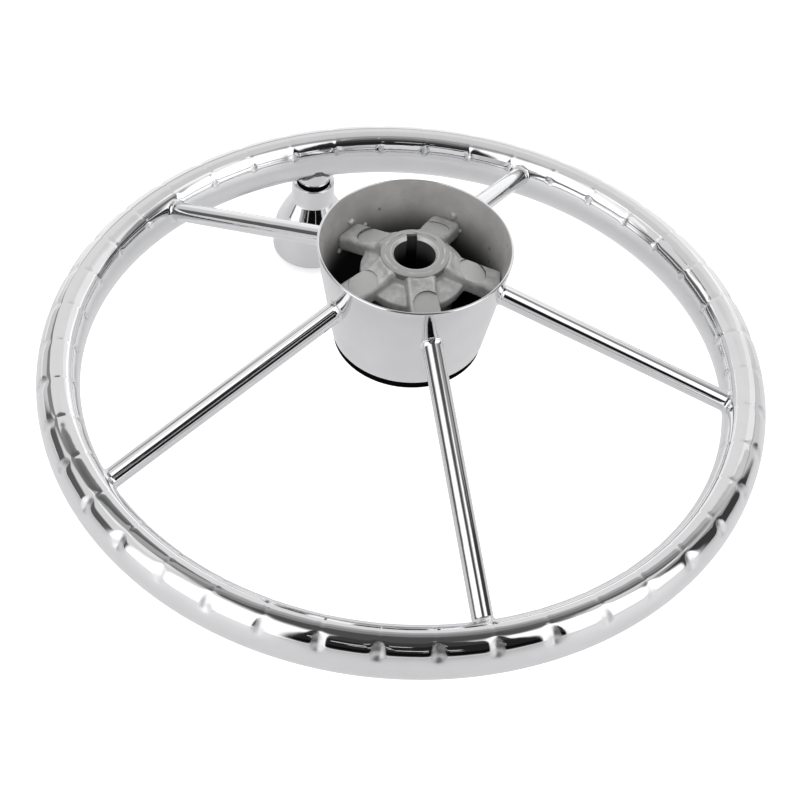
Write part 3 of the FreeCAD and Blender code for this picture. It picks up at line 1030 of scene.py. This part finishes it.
class Sky(Nodes):
    """Paints the directions round the wheel in the world's shader."""

    def __init__(self, world):
        world.node_tree.nodes.clear()
        super().__init__(world.node_tree, "Generated")
        self.rise = self.along("Z")
        self.level_way = self.vector("NORMALIZE", self.flat()).outputs["Vector"]

    def above(self, height, soft):
        """1 above a height in degrees."""
        low, high = (math.sin(math.radians(height + side)) for side in (-soft, soft))
        return self.range(self.rise, low, high)

    def panel(self, turn, half, low, high, soft):
        """1 inside a panel of the studio's walls, given by its direction, half width and heights in degrees."""
        facing = self.vector("DOT_PRODUCT", self.level_way, polar(1.0, turn)).outputs["Value"]
        far = -1.01 if half + soft >= 180 else math.cos(math.radians(half + soft))
        near = -1.0 if half + soft >= 180 else math.cos(math.radians(max(0.0, half - soft)))
        inside = self.both(self.range(facing, far, near), self.above(low, soft))
        if high >= 90:
            return inside
        return self.both(inside, self.math("SUBTRACT", 1.0, self.above(high, soft)))


STUDIO_PANELS = [
    # turn, half width, low, high, soft, level
    (75, 36, -3, 27, 8, 1.05),
    (105, 52, 22, 90, 3, 0.28),
    (8, 45, 27, 90, 3, 0.42),
    (60, 97, 50, 90, 5, 0.14),
    (160, 24, 27, 68, 4, 0.82),
    (158, 19, -4, 26, 4, 0.12),
    (204, 25, -3, 67, 5, 1.5),
    (323, 22, 3, 67, 5, 1.5),
    (357, 13, -2, 45, 4, 0.05),
    (2, 13, 52, 67, 3, 0.8),
    (264, 34, 5, 90, 2.5, 0.05),
    (264, 34, 5, 52, 2.5, 0.02),
    (264, 33, 9, 20, 2, 0.004),
    (0, 180, 73, 90, 5, 0.09),
    (246, 8, 39.5, 41.5, 0.8, 1.2),
    (251, 6, 34, 35.5, 0.8, 1.0),
    (267, 9, 30.5, 32.5, 0.8, 1.2),
    (271, 5, 25, 26, 0.8, 0.9),
    (257, 7, 50, 52, 0.8, 1.0),
]
# Left and right edge, front and back edge and level of the white cards over the back of the wheel
CARDS = [(-0.05, 0.75, 0.17, 0.9, 0.6), (-0.42, -0.05, 0.32, 0.9, 0.6), (-0.42, 0.75, 0.07, 0.17, 0.3),
         (-0.42, 0.75, -0.02, 0.07, 0.14), (0.35, 0.75, -0.12, 0.17, 0.3)]


def build_world(scene):
    """A pale studio whose bright and dark walls are seen only in the polish."""
    world = bpy.data.worlds.new("studio")
    world.use_nodes = True
    scene.world = world
    sky = Sky(world)
    light = 0.72
    for *panel, level in STUDIO_PANELS:
        light = sky.mix("FLOAT", sky.panel(*panel), light, level)
    path = sky.add("ShaderNodeLightPath").outputs
    light = sky.mix("FLOAT", path["Is Diffuse Ray"], light, 0.85)
    light = sky.mix("FLOAT", path["Is Camera Ray"], light, 1.0)
    background = sky.add("ShaderNodeBackground", {"Color": (1, 1, 1, 1), "Strength": light})
    sky.add("ShaderNodeOutputWorld", {"Surface": background.outputs["Background"]})


def build_floor(colours):
    """A pale floor under the knob and rim. It is white to the camera but keeps the wheel's shadow."""
    bm = bmesh.new()
    bmesh.ops.create_circle(bm, cap_ends=True, segments=96, radius=4.0)
    bmesh.ops.translate(bm, verts=bm.verts, vec=(0, 0, cad_low.z - 0.5 * MM))
    floor = placed("floor", stored(bm, "floor"))
    f = Finish("studio_floor")
    cloud = f.noise(3.0, 3.0)
    f.done(f.shade(cloud, colours.floor, 0.985, 1.0), f.spread(cloud, 0.35, 0.42), metallic=0.0)
    behind = f.range(f.along("Y"), 0.22, 0.7, 0.04, 0.35)
    seen = f.math("MULTIPLY", f.add("ShaderNodeLightPath").outputs["Is Camera Ray"], 0.55)
    f.fill(f.shader, {"Emission Color": (1, 1, 1, 1), "Emission Strength": f.math("ADD", behind, seen)})
    floor.data.materials.append(f.material)


def add_lamp(name, place, aim, size, power):
    """A large soft lamp, not seen in the polish."""
    data = bpy.data.lights.new(name, "AREA")
    data.shape = "DISK"
    data.size = size
    data.energy = power
    lamp = placed(name, data)
    lamp.location = place
    lamp.rotation_euler = (Vector(aim) - Vector(place)).to_track_quat("-Z", "Y").to_euler()
    lamp.visible_glossy = False
    lamp.visible_camera = False


def add_card(name, low, high, height, level):
    """A white card over the back of the wheel. The polish shows it, and the camera doesn't."""
    data = bpy.data.lights.new(name, "AREA")
    data.shape = "RECTANGLE"
    data.size = high[0] - low[0]
    data.size_y = high[1] - low[1]
    data.energy = math.pi * level * data.size * data.size_y
    card = placed(name, data)
    card.location = ((low[0] + high[0]) / 2, (low[1] + high[1]) / 2, height)
    card.visible_camera = False


def build_camera(scene):
    """The photographer's view, from in front and above at about 43 degrees."""
    data = bpy.data.cameras.new("camera")
    data.lens = 92.19
    data.sensor_width = 36.0
    data.clip_start = 0.01
    data.clip_end = 50.0
    camera = placed("camera", data)
    right = Vector((0.97351, -0.21947, 0.06418))
    up = Vector((0.11933, 0.72704, 0.67614))
    back = right.cross(up)
    turn = Matrix((right, up, back)).transposed().to_4x4()
    camera.matrix_world = Matrix.Translation((-0.19206, -0.63914, 0.6242)) @ turn
    scene.camera = camera


class WHEEL_OT_studio(bpy.types.Operator):
    """Makes the floor, the light and the camera"""

    bl_idname = "wheel.studio"
    bl_label = "Studio"

    def execute(self, context):
        scene = context.scene
        scene.view_settings.view_transform = "Standard"
        build_world(scene)
        build_floor(scene.wheel_finishes)
        add_lamp("soft_lamp", (-0.5, -0.9, 1.6), (0, 0, -0.03), 1.2, 9.0)
        for left, right, front, back, level in CARDS:
            add_card("white_card", (left, front), (right, back), 0.32, level)
        build_camera(scene)
        return {"FINISHED"}


class WHEEL_PT_panel(bpy.types.Panel):
    """Lists the wheel's pieces and sizes"""

    bl_idname = "WHEEL_PT_panel"
    bl_label = "Boat steering wheel"
    bl_space_type = "VIEW_3D"
    bl_region_type = "UI"
    bl_category = "Wheel"

    def draw(self, context):
        for operator in OPERATORS:
            self.layout.operator(operator.bl_idname)
        for group in (context.scene.wheel_sizes, context.scene.wheel_finishes):
            column = self.layout.column()
            for name in group.__annotations__:
                column.prop(group, name)


OPERATORS = [WHEEL_OT_rim, WHEEL_OT_rods, WHEEL_OT_cup, WHEEL_OT_spider, WHEEL_OT_cap, WHEEL_OT_knob,
             WHEEL_OT_studio]
CLASSES = [WheelSizes, WheelFinishes, *OPERATORS, WHEEL_PT_panel]


def register():
    for item in CLASSES:
        bpy.utils.register_class(item)
    bpy.types.Scene.wheel_sizes = bpy.props.PointerProperty(type=WheelSizes)
    bpy.types.Scene.wheel_finishes = bpy.props.PointerProperty(type=WheelFinishes)


def unregister():
    del bpy.types.Scene.wheel_finishes
    del bpy.types.Scene.wheel_sizes
    for item in reversed(CLASSES):
        bpy.utils.unregister_class(item)


def main():
    register()
    bpy.ops.wheel.rim()
    bpy.ops.wheel.rods()
    bpy.ops.wheel.cup()
    bpy.ops.wheel.spider()
    bpy.ops.wheel.cap()
    bpy.ops.wheel.knob()
    bpy.ops.wheel.studio()


if __name__ == "__main__":
    main()
